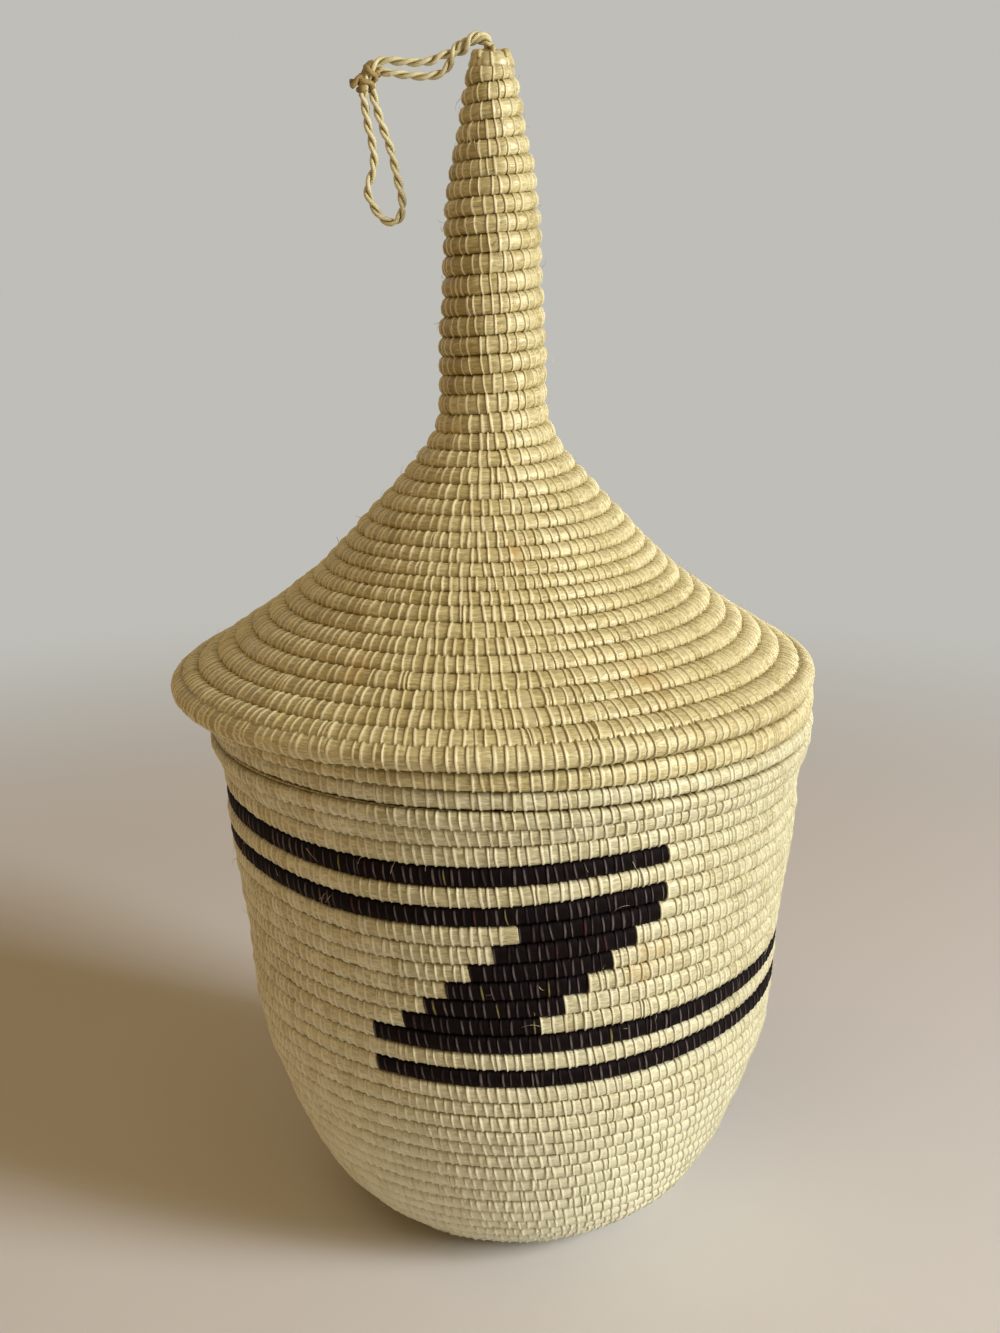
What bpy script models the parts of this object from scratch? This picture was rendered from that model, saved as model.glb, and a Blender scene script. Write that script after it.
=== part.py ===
"""Lidded basket of coiled sisal with a conical lid, a tall coiled spire and a cord loop.

The bowl and the lid are each one long coil that climbs by COIL with every turn. Turn numbers
count along the bowl's coil from its mouth, downwards as negative numbers, so turn -16.5 lies
sixteen and a half turns below the mouth. A whole turn number is the front of the basket, -Y.
"""

import math
from bisect import bisect_right

import bmesh
import bpy
from mathutils import Vector

# Driving dimensions, in metres
BODY_HEIGHT = 0.1420  # table to the level where lid and bowl meet
MOUTH_RADIUS = 0.0789  # outer face of the bowl's top row
BASE_RADIUS = 0.0280  # flat start of the bowl's coil
LID_HEIGHT = 0.1612  # meeting level to the top of the spire
SPIRE_HEIGHT = 0.0840  # neck to the top of the spire
NECK_RADIUS = 0.0136  # foot of the spire
TIP_RADIUS = 0.0058  # last turn of the spire
COIL = 0.0047  # height of one row, so the climb of a turn
WALL = 0.0046  # thickness of the coil from outer to inner face
GROOVE = 0.0009  # depth of the groove between two rows
STRAND = 0.0005  # least thickness of the strands wound round the band's rows
SEAM = 0.0003  # room between pieces that touch

# Rows that carry the lid
SEAT_HEIGHT = 0.0049  # lowest row of the lid, turned in under the widest one
SEAT_OVERHANG = 0.0010  # it stands out this far past the bowl's mouth
RIM_HEIGHT = 0.0060  # widest row of the lid
RIM_OVERHANG = 0.0031  # it stands out this far past the lowest one
RIM_LAP = 0.0055  # and reaches in this far over the lowest one's outer face
COLLAR_WALL = 0.0040  # two rows sewn inside the mouth, which keep the lid on
LID_PLAY = 0.0018  # room between the collar and the lid's lowest row, all round

# The basket is made by hand and leans a little: sideways shifts along X
BOWL_LEAN = -0.0020  # of the mouth's centre from the base's
RIM_SHIFT = -0.0030  # of the lid's widest row from its lowest
SPIRE_LEAN = -0.0003  # of the spire's top from the neck
LID_SLANT = 0.019  # rise of the lid's rows towards +X, which its lowest row takes up as a wedge
LID_SLIDE = LID_PLAY - SEAM  # the lid lies pushed to the left, against the collar

# The dark pattern, in turns and degrees. Angles run from the front towards +X.
BAND_START = -16 - 120 / 360  # the band's first turn, low down at the back left
BAND_TURNS = 12
STEPS_IN_FRONT = 6
STEPS_BEHIND = 5  # one less, because the stripes climb by a row on their way round
STEP_TURN = -8  # turn of the front figure's top step
STEP_ANGLE = 14.0  # middle of that step
STEP_DRIFT = -4.5  # each lower step lies this much further to the left
STEP_WIDTH = 26.5
STRIPE_REACH = 28.5  # stripes start and end this far to the side of the front
LOWER_STRIPE_END = 213.0  # the lower ones end this far round, at the back figure
UPPER_STRIPE_START = 215.0  # and the upper ones start this far before the front
BACK_STEP_ANGLE = 163.5
BACK_STEP_DRIFT = 6.3  # each lower step at the back lies this much further round

# Fineness of the meshes
COLUMNS = 30  # round the bowl and the lid
SPIRE_COLUMNS = 15
INNER_STEP = 0.009  # between the rings of an inner face

TURN = 2 * math.pi
COLLAR_RADIUS = MOUTH_RADIUS - WALL - SEAM
SEAT_RADIUS = MOUTH_RADIUS + SEAT_OVERHANG
RIM_RADIUS = SEAT_RADIUS + RIM_OVERHANG
LID_BASE = BODY_HEIGHT + SEAM / 2
SEAT_TOP = LID_BASE + SEAT_HEIGHT
RIM_TOP = SEAT_TOP + SEAM + RIM_HEIGHT
CONE_BASE = RIM_TOP + SEAM
SPIRE_TOP = BODY_HEIGHT + LID_HEIGHT
NECK = SPIRE_TOP - SPIRE_HEIGHT
TIP_HEIGHT = 0.6 * TIP_RADIUS
BAND_SKIN = GROOVE + STRAND  # the wound strands reach in this far from the ridges
BAND_SUNK = BAND_SKIN + SEAM  # and the wall under them lies this deep
SEAM_ANGLE = BAND_START % 1 * TURN

# Colours are linear, as Blender's materials hold them
PALE = (0.62, 0.53, 0.30)
LID_STRAW = (0.57, 0.44, 0.21)
DARK = (0.018, 0.010, 0.009)
SISAL_CORD = (0.60, 0.49, 0.26)


def smooth(points, steps):
    """Points along a smooth curve through the given ones, with steps points to each stretch."""
    points = [Vector(p) for p in points]
    last = len(points) - 1

    def heading(k):
        return (points[min(k + 1, last)] - points[max(k - 1, 0)]).normalized()

    spots = [points[0]]
    for i in range(last):
        chord = (points[i + 1] - points[i]).length
        for step in range(1, steps + 1):
            t = step / steps
            spots.append(
                points[i] * (2 * t**3 - 3 * t**2 + 1)
                + heading(i) * chord * (t**3 - 2 * t**2 + t)
                + points[i + 1] * (3 * t**2 - 2 * t**3)
                + heading(i + 1) * chord * (t**3 - t**2)
            )
    return spots


class Outline:
    """A wall's outer face in section, as (radius, height), measured by its run from the start."""

    FINENESS = 16
    PROBE = 0.0008

    def __init__(self, points):
        self.spots = smooth(points, self.FINENESS)
        self.runs = [0.0]
        for a, b in zip(self.spots, self.spots[1:]):
            self.runs.append(self.runs[-1] + (b - a).length)
        self.length = self.runs[-1]

    def spot(self, run):
        run = min(max(run, 0.0), self.length)
        i = min(max(bisect_right(self.runs, run) - 1, 0), len(self.runs) - 2)
        share = (run - self.runs[i]) / (self.runs[i + 1] - self.runs[i])
        return self.spots[i].lerp(self.spots[i + 1], share)

    def lifted(self, run, lift):
        """The spot at run, moved out of the wall by lift, or into it if that is negative."""
        along = (self.spot(run + self.PROBE) - self.spot(run - self.PROBE)).normalized()
        return self.spot(run) + Vector((along.y, -along.x)) * lift

    def run_at_height(self, height):
        """How far along the outline a height is first reached."""
        for run, spot in zip(self.runs, self.spots):
            if spot.y >= height:
                return run
        return self.length


def bowl_outline():
    """Radius and height of the bowl's ridges, as shares between base and mouth."""
    shape = (
        (0.00, 0.000),
        (0.194, 0.020),
        (0.330, 0.056),
        (0.466, 0.106),
        (0.579, 0.176),
        (0.686, 0.268),
        (0.810, 0.408),
        (0.858, 0.592),
        (0.925, 0.789),
        (0.945, 0.900),
    )
    points = [
        (BASE_RADIUS + (MOUTH_RADIUS - BASE_RADIUS) * out, BODY_HEIGHT * up) for out, up in shape
    ]
    upright = 1.5 * COIL  # the last rows stand straight, so that the lid sits level
    return Outline(points + [(MOUTH_RADIUS, BODY_HEIGHT - upright), (MOUTH_RADIUS, BODY_HEIGHT)])


def lid_outline():
    """Radius and height of the lid's ridges, from its widest row to the last turn of the spire."""
    cone = (
        (0.970, 0.00),
        (0.880, 0.05),
        (0.740, 0.145),
        (0.510, 0.32),
        (0.339, 0.50),
        (0.159, 0.70),
        (0.070, 0.81),
        (0.009, 0.93),
    )
    spire = (
        (1.00, 0.03),
        (0.98, 0.17),
        (0.84, 0.36),
        (0.78, 0.56),
        (0.61, 0.69),
        (0.38, 0.79),
        (0.245, 0.86),
    )
    top = SPIRE_TOP - TIP_HEIGHT - SEAM
    points = [
        (NECK_RADIUS + (RIM_RADIUS - NECK_RADIUS) * out, CONE_BASE + (NECK - CONE_BASE) * up)
        for out, up in cone
    ]
    points += [
        (TIP_RADIUS + (NECK_RADIUS - TIP_RADIUS) * out, NECK + (top - NECK) * up)
        for out, up in spire
    ]
    return Outline(points + [(TIP_RADIUS, top)])


def bowl_lean(height):
    """How far the bowl leans along X at a height, and how its rows rise towards +X."""
    return BOWL_LEAN * min(height / BODY_HEIGHT, 1), 0.0


def lid_lean(height):
    up_the_spire = min(max((height - NECK) / SPIRE_HEIGHT, 0), 1)
    return BOWL_LEAN - LID_SLIDE + RIM_SHIFT + SPIRE_LEAN * up_the_spire, LID_SLANT


def seat_lean(height):
    share = (height - LID_BASE) / SEAT_HEIGHT
    return BOWL_LEAN - LID_SLIDE, LID_SLANT * share


def place(spot, angle, lean):
    """World point of a (radius, height) spot, at an angle from the front towards +X."""
    aside, slant = lean(spot.y)
    sideways = spot.x * math.sin(angle)
    return Vector((aside + sideways, -spot.x * math.cos(angle), spot.y + slant * sideways))


def material(name, colour):
    made = bpy.data.materials.new(name)
    made.use_nodes = True
    shader = made.node_tree.nodes["Principled BSDF"]
    shader.inputs["Base Color"].default_value = (*colour, 1)
    shader.inputs["Roughness"].default_value = 0.75
    shader.inputs["Metallic"].default_value = 0
    return made


def finish(name, mesh, colour):
    """An object from a bmesh, shaded smooth, with its own material."""
    bmesh.ops.recalc_face_normals(mesh, faces=mesh.faces)
    data = bpy.data.meshes.new(name)
    mesh.to_mesh(data)
    mesh.free()
    data.shade_smooth()
    data.set_sharp_from_angle(angle=math.radians(50))
    data.materials.append(material(name, colour))
    made = bpy.data.objects.new(name, data)
    bpy.context.scene.collection.objects.link(made)
    return made


def coiled_wall(name, outline, low, high, columns, lean, colour, **shape):
    """A wall whose outer face shows the coil's rows, climbing by one row in every turn.

    low and high are the runs of its two edges, and datum the run of a groove at the front. Two
    levels make a row: even ones are grooves and odd ones ridges. Rows that run out at an edge
    close on it. bore_end closes the top over a hollow that stops there, sunk is the span of
    levels that carries wound strands, and floor is the height that the wall stands on.
    """
    datum = shape.get("datum", low)
    bore_end = shape.get("bore_end")
    sunk = shape.get("sunk", (0, -1))
    floor = shape.get("floor", -1.0)
    mesh = bmesh.new()
    made = {}
    snap = 0.05 * COIL

    def angle(column):
        return SEAM_ANGLE + TURN * (column / columns)

    def corner(run, lift, column):
        spot = outline.lifted(run, lift)
        spot.y = max(spot.y, floor)
        return mesh.verts.new(place(spot, angle(column), lean))

    def outer(level, column):
        if column == columns:
            level, column = level + 2, 0
        run = datum + COIL * (level / 2 + angle(column) / TURN - 1)
        lift = 0.0 if level % 2 else -GROOVE
        if sunk[0] <= level <= sunk[1]:
            lift = -BAND_SUNK
        key = (level, column)
        if run < low + snap:
            key, run, lift = ("low", column), low, -GROOVE
        elif run > high - snap:
            key, run, lift = ("high", column), high, -GROOVE
        if key not in made:
            made[key] = corner(run, lift, column)
        return made[key]

    def face(*corners):
        corners = list(dict.fromkeys(corners))
        if len(corners) > 2:
            mesh.faces.new(corners)

    first = math.floor(2 * (low - datum) / COIL) - 3
    last = math.ceil(2 * (high - datum) / COIL) + 3
    for column in range(columns):
        for level in range(first, last):
            face(
                outer(level, column),
                outer(level, column + 1),
                outer(level + 1, column + 1),
                outer(level + 1, column),
            )

    inner_high = bore_end or high
    rings = max(1, round((inner_high - low) / INNER_STEP))
    inner_runs = [low + (inner_high - low) * ring / rings for ring in range(rings + 1)]
    inner = [[corner(run, -WALL, c) for c in range(columns)] for run in inner_runs]
    lows = [outer(first, c) for c in range(columns)]
    highs = [outer(last, c) for c in range(columns)]
    for column in range(columns):
        after = (column + 1) % columns
        for lower, upper in zip(inner, inner[1:]):
            face(lower[column], upper[column], upper[after], lower[after])
        face(lows[column], inner[0][column], inner[0][after], lows[after])
        if bore_end is None:
            face(highs[column], highs[after], inner[-1][after], inner[-1][column])
    if bore_end is not None:
        face(*highs)
        face(*reversed(inner[-1]))
    return finish(name, mesh, colour)


def turned(name, section, columns, lean, colour):
    """A ring or disc turned from a section of (radius, height) spots, closed on the axis if need be."""
    mesh = bmesh.new()
    rings = []
    for radius, height in section:
        spot = Vector((radius, height))
        if radius == 0:
            rings.append([mesh.verts.new(place(spot, 0, lean))] * columns)
        else:
            rings.append([mesh.verts.new(place(spot, TURN * c / columns, lean)) for c in range(columns)])
    closed = section[0][0] > 0
    pairs = list(zip(rings, rings[1:])) + ([(rings[-1], rings[0])] if closed else [])
    for lower, upper in pairs:
        for c in range(columns):
            after = (c + 1) % columns
            corners = dict.fromkeys((lower[c], lower[after], upper[after], upper[c]))
            mesh.faces.new(list(corners))
    return finish(name, mesh, colour)


def rows_section(inner, outer, low, high, rows):
    """Section of a ring of coil rows laid on each other: a flattened round to each row."""
    row = (high - low) / rows
    round_off = 0.24 * row

    def side(radius, inwards):
        spots = [(radius + inwards, low)]
        for i in range(rows):
            foot = low + i * row
            spots += [(radius, foot + round_off), (radius, foot + row - round_off)]
            spots.append((radius + inwards, foot + row))
        return spots

    return side(outer, -GROOVE) + side(inner, GROOVE)[::-1]


def wound_stretch(name, start, end, colour):
    """Strands wound round the bowl's coil from one turn to another, seated on the sunk wall."""
    half_seam = SEAM / 2
    edge = half_seam / COIL
    section = (
        (edge, -BAND_SKIN),
        (edge, -GROOVE),
        (0.5, 0.0),
        (1 - edge, -GROOVE),
        (1 - edge, -BAND_SKIN),
    )
    margin = half_seam / (TURN * MOUTH_RADIUS)
    between = range(math.ceil(start * COLUMNS + 0.2), math.floor(end * COLUMNS - 0.2) + 1)
    turns = [start + margin] + [i / COLUMNS for i in between] + [end - margin]
    mesh = bmesh.new()
    loops = []
    for turn in turns:
        spots = [BOWL.lifted(BOWL.length + COIL * (turn + up), lift) for up, lift in section]
        loops.append([mesh.verts.new(place(spot, turn * TURN, bowl_lean)) for spot in spots])
    for before, after in zip(loops, loops[1:]):
        for i in range(len(section)):
            j = (i + 1) % len(section)
            mesh.faces.new((before[i], after[i], after[j], before[j]))
    mesh.faces.new(loops[0])
    mesh.faces.new(loops[-1][::-1])
    return finish(name, mesh, colour)


def dark_pattern():
    """Spans of turns of each dark piece: four stripes, and the steps that join them."""
    reach = STRIPE_REACH / 360
    lower_round = LOWER_STRIPE_END / 360 + reach
    upper_round = UPPER_STRIPE_START / 360 + reach
    low, high = STEP_TURN - 8, STEP_TURN - 6
    spans = {
        "lower_stripe_1": (low - reach, low - reach + lower_round),
        "lower_stripe_2": (high - reach, high - reach + lower_round),
        "upper_stripe_1": (STEP_TURN + 1 + reach - upper_round, STEP_TURN + 1 + reach),
        "upper_stripe_2": (STEP_TURN + 3 + reach - upper_round, STEP_TURN + 3 + reach),
    }
    half = STEP_WIDTH / 2
    for i in range(STEPS_IN_FRONT):
        middle = STEP_ANGLE + STEP_DRIFT * i
        turn = STEP_TURN - i
        spans[f"front_step_{i + 1}"] = (turn + (middle - half) / 360, turn + (middle + half) / 360)
    for i in range(STEPS_BEHIND):
        middle = BACK_STEP_ANGLE + BACK_STEP_DRIFT * i
        turn = STEP_TURN - 1 - i
        spans[f"back_step_{i + 1}"] = (turn + (middle - half) / 360, turn + (middle + half) / 360)
    return spans


def pale_between(dark):
    """The band's spans that the dark pieces leave free."""
    spans = []
    turn = BAND_START
    for start, end in sorted(dark.values()):
        spans.append((turn, start))
        turn = end
    return spans + [(turn, BAND_START + BAND_TURNS - 1 / COLUMNS)]


def bowl():
    top_row = BOWL.length - COIL
    edge = BOWL.lifted(0, -WALL)
    rows = round((edge.x - SEAM) / COIL)
    row = (edge.x - SEAM) / rows
    spiral = [(row * (rows - i / 2), edge.y - (GROOVE if i % 2 == 0 else 0)) for i in range(2 * rows)]
    turned(
        "base_coil",
        [(0, 0), (BASE_RADIUS - SEAM, 0)] + spiral + [(0, edge.y - GROOVE)],
        COLUMNS,
        bowl_lean,
        PALE,
    )
    band = [round(2 * (turn - SEAM_ANGLE / TURN + 1)) for turn in (BAND_START, BAND_START + BAND_TURNS)]
    coiled_wall(
        "bowl_wall",
        BOWL,
        0.0,
        top_row,
        COLUMNS,
        bowl_lean,
        PALE,
        datum=BOWL.length,
        sunk=tuple(band),
    )
    rim = BODY_HEIGHT - SEAM / 2
    lying = BODY_HEIGHT - COIL + SEAM
    inner = MOUTH_RADIUS - WALL
    turned(
        "mouth_row", rows_section(inner, MOUTH_RADIUS, lying, rim, 1), COLUMNS, bowl_lean, PALE
    )
    turned(
        "mouth_collar",
        rows_section(COLLAR_RADIUS - COLLAR_WALL, COLLAR_RADIUS, lying, lying + 2 * COIL, 2),
        COLUMNS,
        bowl_lean,
        PALE,
    )
    dark = dark_pattern()
    for name, (start, end) in dark.items():
        wound_stretch(name, start, end, DARK)
    for i, (start, end) in enumerate(pale_between(dark)):
        wound_stretch(f"pale_stretch_{i + 1}", start, end, PALE)


def lid():
    turned(
        "lid_seat_row",
        rows_section(COLLAR_RADIUS + LID_PLAY, SEAT_RADIUS, LID_BASE, SEAT_TOP, 1),
        COLUMNS,
        seat_lean,
        LID_STRAW,
    )
    turned(
        "lid_rim_row",
        rows_section(SEAT_RADIUS - RIM_LAP, RIM_RADIUS, SEAT_TOP + SEAM, RIM_TOP, 1),
        COLUMNS,
        lid_lean,
        LID_STRAW,
    )
    neck_run = LID.run_at_height(NECK)
    coiled_wall("lid_cone", LID, 0.0, neck_run, COLUMNS, lid_lean, LID_STRAW, floor=CONE_BASE)
    narrowest_bore = WALL + 0.4 * TIP_RADIUS
    bore_end = next(
        run for run, spot in zip(LID.runs, LID.spots) if run > neck_run and spot.x < narrowest_bore
    )
    coiled_wall(
        "lid_spire",
        LID,
        neck_run + SEAM,
        LID.length,
        SPIRE_COLUMNS,
        lid_lean,
        LID_STRAW,
        datum=0.0,
        bore_end=bore_end,
    )
    foot = SPIRE_TOP - TIP_HEIGHT
    turned(
        "spire_tip",
        [
            (0, foot),
            (TIP_RADIUS - GROOVE, foot),
            (TIP_RADIUS, foot + 0.35 * TIP_HEIGHT),
            (0.8 * TIP_RADIUS, foot + 0.8 * TIP_HEIGHT),
            (0.5 * TIP_RADIUS, SPIRE_TOP),
            (0, SPIRE_TOP),
        ],
        SPIRE_COLUMNS,
        lid_lean,
        LID_STRAW,
    )


def cord(name, route, radii, spacing):
    """A tube along a smooth curve through a route of (x, z) points in the plane of the lean."""
    fine = smooth([(x, 0, z) for x, z in route], 24)
    widths = [w.x for w in smooth([(r, 0) for r in radii], 24)] if len(radii) > 1 else None
    runs = [0.0]
    for a, b in zip(fine, fine[1:]):
        runs.append(runs[-1] + (b - a).length)
    count = max(3, round(runs[-1] / spacing) + 1)
    curve = bpy.data.curves.new(name, "CURVE")
    curve.dimensions = "3D"
    curve.bevel_depth = radii[0]
    curve.bevel_resolution = 2
    curve.use_fill_caps = True
    spline = curve.splines.new("POLY")
    spline.points.add(count - 1)
    for i, point in enumerate(spline.points):
        run = runs[-1] * i / (count - 1)
        k = min(bisect_right(runs, run) - 1, len(fine) - 2)
        share = (run - runs[k]) / (runs[k + 1] - runs[k])
        point.co = (*fine[k].lerp(fine[k + 1], share), 1)
        if widths:
            point.radius = (widths[k] + (widths[k + 1] - widths[k]) * share) / radii[0]
    curve.materials.append(material(name, SISAL_CORD))
    made = bpy.data.objects.new(name, curve)
    bpy.context.scene.collection.objects.link(made)
    return made


def cord_loop():
    """The hanging loop: two-ply sisal cord, doubled, knotted, and ending in an open eye.

    Routes are in millimetres from the top of the spire, x to the right and z up.
    """
    strand = 0.00115
    top = (lid_lean(SPIRE_TOP)[0], SPIRE_TOP)

    def route(*points):
        return [(top[0] + x / 1000, top[1] + z / 1000) for x, z in points]

    leading = route((-0.6, 0.35), (-0.7, 1.4), (-1.9, 2.5), (-3.8, 2.4), (-6.0, 1.3), (-9.0, -0.8))
    cord("cord_lead", leading, [0.0014], 0.0013)
    upper = route((-10.1, 0.1), (-12.2, -1.5), (-14.6, -2.7), (-18.0, -3.0), (-22.0, -2.8), (-26.2, -2.6))
    cord("cord_run_upper", upper, [strand], 0.0025)
    lower = route((-8.6, -2.1), (-11.0, -4.7), (-14.4, -6.1), (-18.1, -6.1), (-21.1, -5.8), (-25.1, -5.3))
    cord("cord_run_lower", lower, [strand], 0.0025)
    knot = route((-26.8, -3.6), (-28.9, -5.1), (-30.1, -7.4), (-30.4, -10.0), (-29.4, -12.4))
    cord("cord_knot", knot, [0.0020, 0.0022, 0.0026, 0.0020, 0.0019], 0.0022)
    eye = route(
        (-30.5, -13.2),
        (-30.0, -17.0),
        (-28.9, -22.0),
        (-28.7, -27.3),
        (-30.3, -32.2),
        (-29.7, -34.9),
        (-27.2, -38.9),
        (-25.2, -40.1),
        (-23.2, -39.9),
        (-22.1, -37.9),
        (-21.8, -35.4),
        (-23.1, -29.2),
        (-24.6, -22.8),
        (-26.4, -17.8),
        (-28.1, -12.2),
    )
    cord("cord_eye", eye, [strand], 0.0024)


for leftover in list(bpy.data.objects):
    bpy.data.objects.remove(leftover, do_unlink=True)
BOWL = bowl_outline()
LID = lid_outline()
bowl()
lid()
cord_loop()
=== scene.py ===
"""Looks of the lidded basket: its coils wound with sisal strand, the dark pattern, and the cord."""

import math

import bpy
import numpy as np
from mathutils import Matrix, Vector


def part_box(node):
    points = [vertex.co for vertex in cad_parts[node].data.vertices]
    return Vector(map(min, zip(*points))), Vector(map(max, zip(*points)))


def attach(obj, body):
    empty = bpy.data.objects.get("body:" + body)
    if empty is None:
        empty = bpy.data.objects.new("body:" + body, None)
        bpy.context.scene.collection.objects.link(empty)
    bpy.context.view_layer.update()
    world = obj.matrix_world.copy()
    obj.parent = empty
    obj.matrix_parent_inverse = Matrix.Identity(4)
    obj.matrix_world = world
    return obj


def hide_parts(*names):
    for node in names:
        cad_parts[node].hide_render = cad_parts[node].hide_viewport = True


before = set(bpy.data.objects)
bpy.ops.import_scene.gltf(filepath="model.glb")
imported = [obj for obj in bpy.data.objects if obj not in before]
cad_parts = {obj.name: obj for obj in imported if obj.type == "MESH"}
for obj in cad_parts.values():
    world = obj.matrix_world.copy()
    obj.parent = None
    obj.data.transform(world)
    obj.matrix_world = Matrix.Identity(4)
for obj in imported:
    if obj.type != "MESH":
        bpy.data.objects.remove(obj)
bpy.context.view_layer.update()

# Dimensions that the frame doesn't hold, in metres, as in part.py
LID_HEIGHT = 0.1612  # level where lid and bowl meet, to the top of the spire
SPIRE_HEIGHT = 0.0840  # neck to the top of the spire
NECK_RADIUS = 0.0136  # foot of the spire
COIL = 0.0047  # height of one row, so the climb of a turn
WALL = 0.0046  # thickness of the coil from outer to inner face
COLLAR_WALL = 0.0040
SEAM = 0.0003  # room between pieces that touch
LID_SLANT = 0.019  # rise of the lid's rows towards +X, which its lowest row takes up as a wedge


def half_width(box, axis=0):
    low, high = box
    return (high[axis] - low[axis]) / 2


def middle_x(box):
    low, high = box
    return (high[0] + low[0]) / 2


# Sizes and places from the frame, in metres
BODY_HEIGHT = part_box("mouth_row")[1][2]
MOUTH_RADIUS = half_width(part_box("mouth_row"))
BASE_RADIUS = half_width(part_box("base_coil"))
RIM_RADIUS = half_width(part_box("lid_rim_row"), 1)
RIM_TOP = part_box("lid_rim_row")[1][2] - LID_SLANT * RIM_RADIUS
CONE_BASE = RIM_TOP + SEAM
LID_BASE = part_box("lid_seat_row")[0][2]
SEAT_RADIUS = half_width(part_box("lid_seat_row"), 1)
SEAT_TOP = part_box("lid_seat_row")[1][2] - LID_SLANT * SEAT_RADIUS
SPIRE_TOP = BODY_HEIGHT + LID_HEIGHT
NECK = SPIRE_TOP - SPIRE_HEIGHT
TIP_RADIUS = half_width(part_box("spire_tip"))
TIP_HEIGHT = 0.6 * TIP_RADIUS
BOWL_LEAN = middle_x(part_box("mouth_row"))
RIM_CENTRE = middle_x(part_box("lid_rim_row"))
SEAT_CENTRE = middle_x(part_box("lid_seat_row"))
TIP_CENTRE = middle_x(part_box("spire_tip"))

# The dark pattern, in turns of the bowl's coil and degrees from the front towards +X, as in part.py
BAND_START = -16 - 120 / 360  # the band's first turn, low down at the back left
BAND_TURNS = 12
STEPS_IN_FRONT = 6
STEPS_BEHIND = 5
STEP_TURN = -8  # turn of the front figure's top step
STEP_ANGLE = 14.0  # middle of that step
STEP_DRIFT = -4.5  # each lower step lies this much further to the left
STEP_WIDTH = 26.5
STRIPE_REACH = 28.5  # stripes start and end this far to the side of the front
LOWER_STRIPE_END = 213.0  # the lower ones end this far round, at the back figure
UPPER_STRIPE_START = 215.0  # and the upper ones start this far before the front
BACK_STEP_ANGLE = 163.5
BACK_STEP_DRIFT = 6.3  # each lower step at the back lies this much further round

# Strands and rows
RIM_WALL = 0.0088  # thickness of the rim row's winding
LEAST_RADIUS = 0.001  # strands are spaced as on this radius where the coil is narrower
JITTER = 0.13  # unevenness of the strands' spacing, as a share
RIDGE = 0.00030  # how far a strand's raised edge stands out of the coil
RIDGE_WIDTH = 0.00080
DIP = 0.00008  # depth of the seam beside it
FLAT_END = 0.00017  # width of that seam
TUCK = 0.00014  # how far a row's edges draw in at a seam
BULGE = 0.00006  # unevenness of a strand's height
CROWN = 0.00003  # unevenness of the flat between two ridges
BOW = 0.00012  # how far a strand's edge bows to the side
SWING = 0.05  # unevenness of its lean
RIDGE_COLUMNS = (
    # across the ridge: place, height, how much of a ridge, how much painted shade and dirt
    (0.00, 0.00, 0.0, 0.60),
    (0.10, 0.88, 0.7, 0.30),
    (0.26, 1.00, 1.0, 0.0),
    (0.74, 0.55, 1.0, 0.0),
    (1.00, 0.04, 0.0, 0.25),
)
FLAT_SPOTS = (0.16, 0.84, 1.0)  # where the flat's columns lie, as shares of its width
FLAT_SEAM = 0.50  # how much painted shade and dirt the last of them has
FLAT_FALL = 0.3  # share of the flat's height that is left there
WIDEST_RIDGE = 0.6  # share of a strand's width that its ridge takes at most
DRAWN_IN = (1.0, 0.4, 0.0, 0.0, 0.3, 0.0, 0.0, 1.0)  # how far each column follows the tuck
UNEVEN = 0.18  # spread of the ridges' heights and widths, as a share
WAVE = 0.00016  # slow unevenness of a coil
DOUBLED = 0.02  # share of strands that have a second one close by
DOUBLE_STEP = 0.36  # which lies this share of a strand's width on
END_ROOM = 0.6  # a strand keeps this share of its width from the end of a stretch
LEAN_ANGLE = math.radians(6)  # the strands lean to the left on their way up
COIL_START = 0.45  # turns left bare at the middle of the base
BOWL_END = -1.02  # last turn of the bowl's wall, under the mouth row
LID_START = -0.96  # first turn of the cone, on the rim
LID_END_ROOM = 0.05  # turns left bare at the top of the spire
TIP_COUNT = 9  # strands round the tip
TIP_SINK = 0.0012  # they start this far below the tip itself
TIP_WALL = 0.002

# Loose fibres
FIBRE_STEPS = 9
FIBRE_SIDES = 3
FIBRE_RADIUS = (0.00004, 0.00010)
FIBRE_LENGTH = (0.0015, 0.0060)
FIBRE_RISE = (0.0002, 0.0011)

TURN = 2 * math.pi
MM = 0.001


def smooth(points, steps=16):
    """Points along a smooth curve through the given ones, with steps points to each stretch."""
    points = np.array(points, float)
    last = len(points) - 1
    spots = [points[0]]
    for i in range(last):
        chord = np.linalg.norm(points[i + 1] - points[i])
        ends = []
        for k in (i, i + 1):
            way = points[min(k + 1, last)] - points[max(k - 1, 0)]
            ends.append(way / np.linalg.norm(way) * chord)
        for step in range(1, steps + 1):
            t = step / steps
            spots.append(
                points[i] * (2 * t**3 - 3 * t**2 + 1)
                + ends[0] * (t**3 - 2 * t**2 + t)
                + points[i + 1] * (3 * t**2 - 2 * t**3)
                + ends[1] * (t**3 - t**2)
            )
    return np.array(spots)


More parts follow.
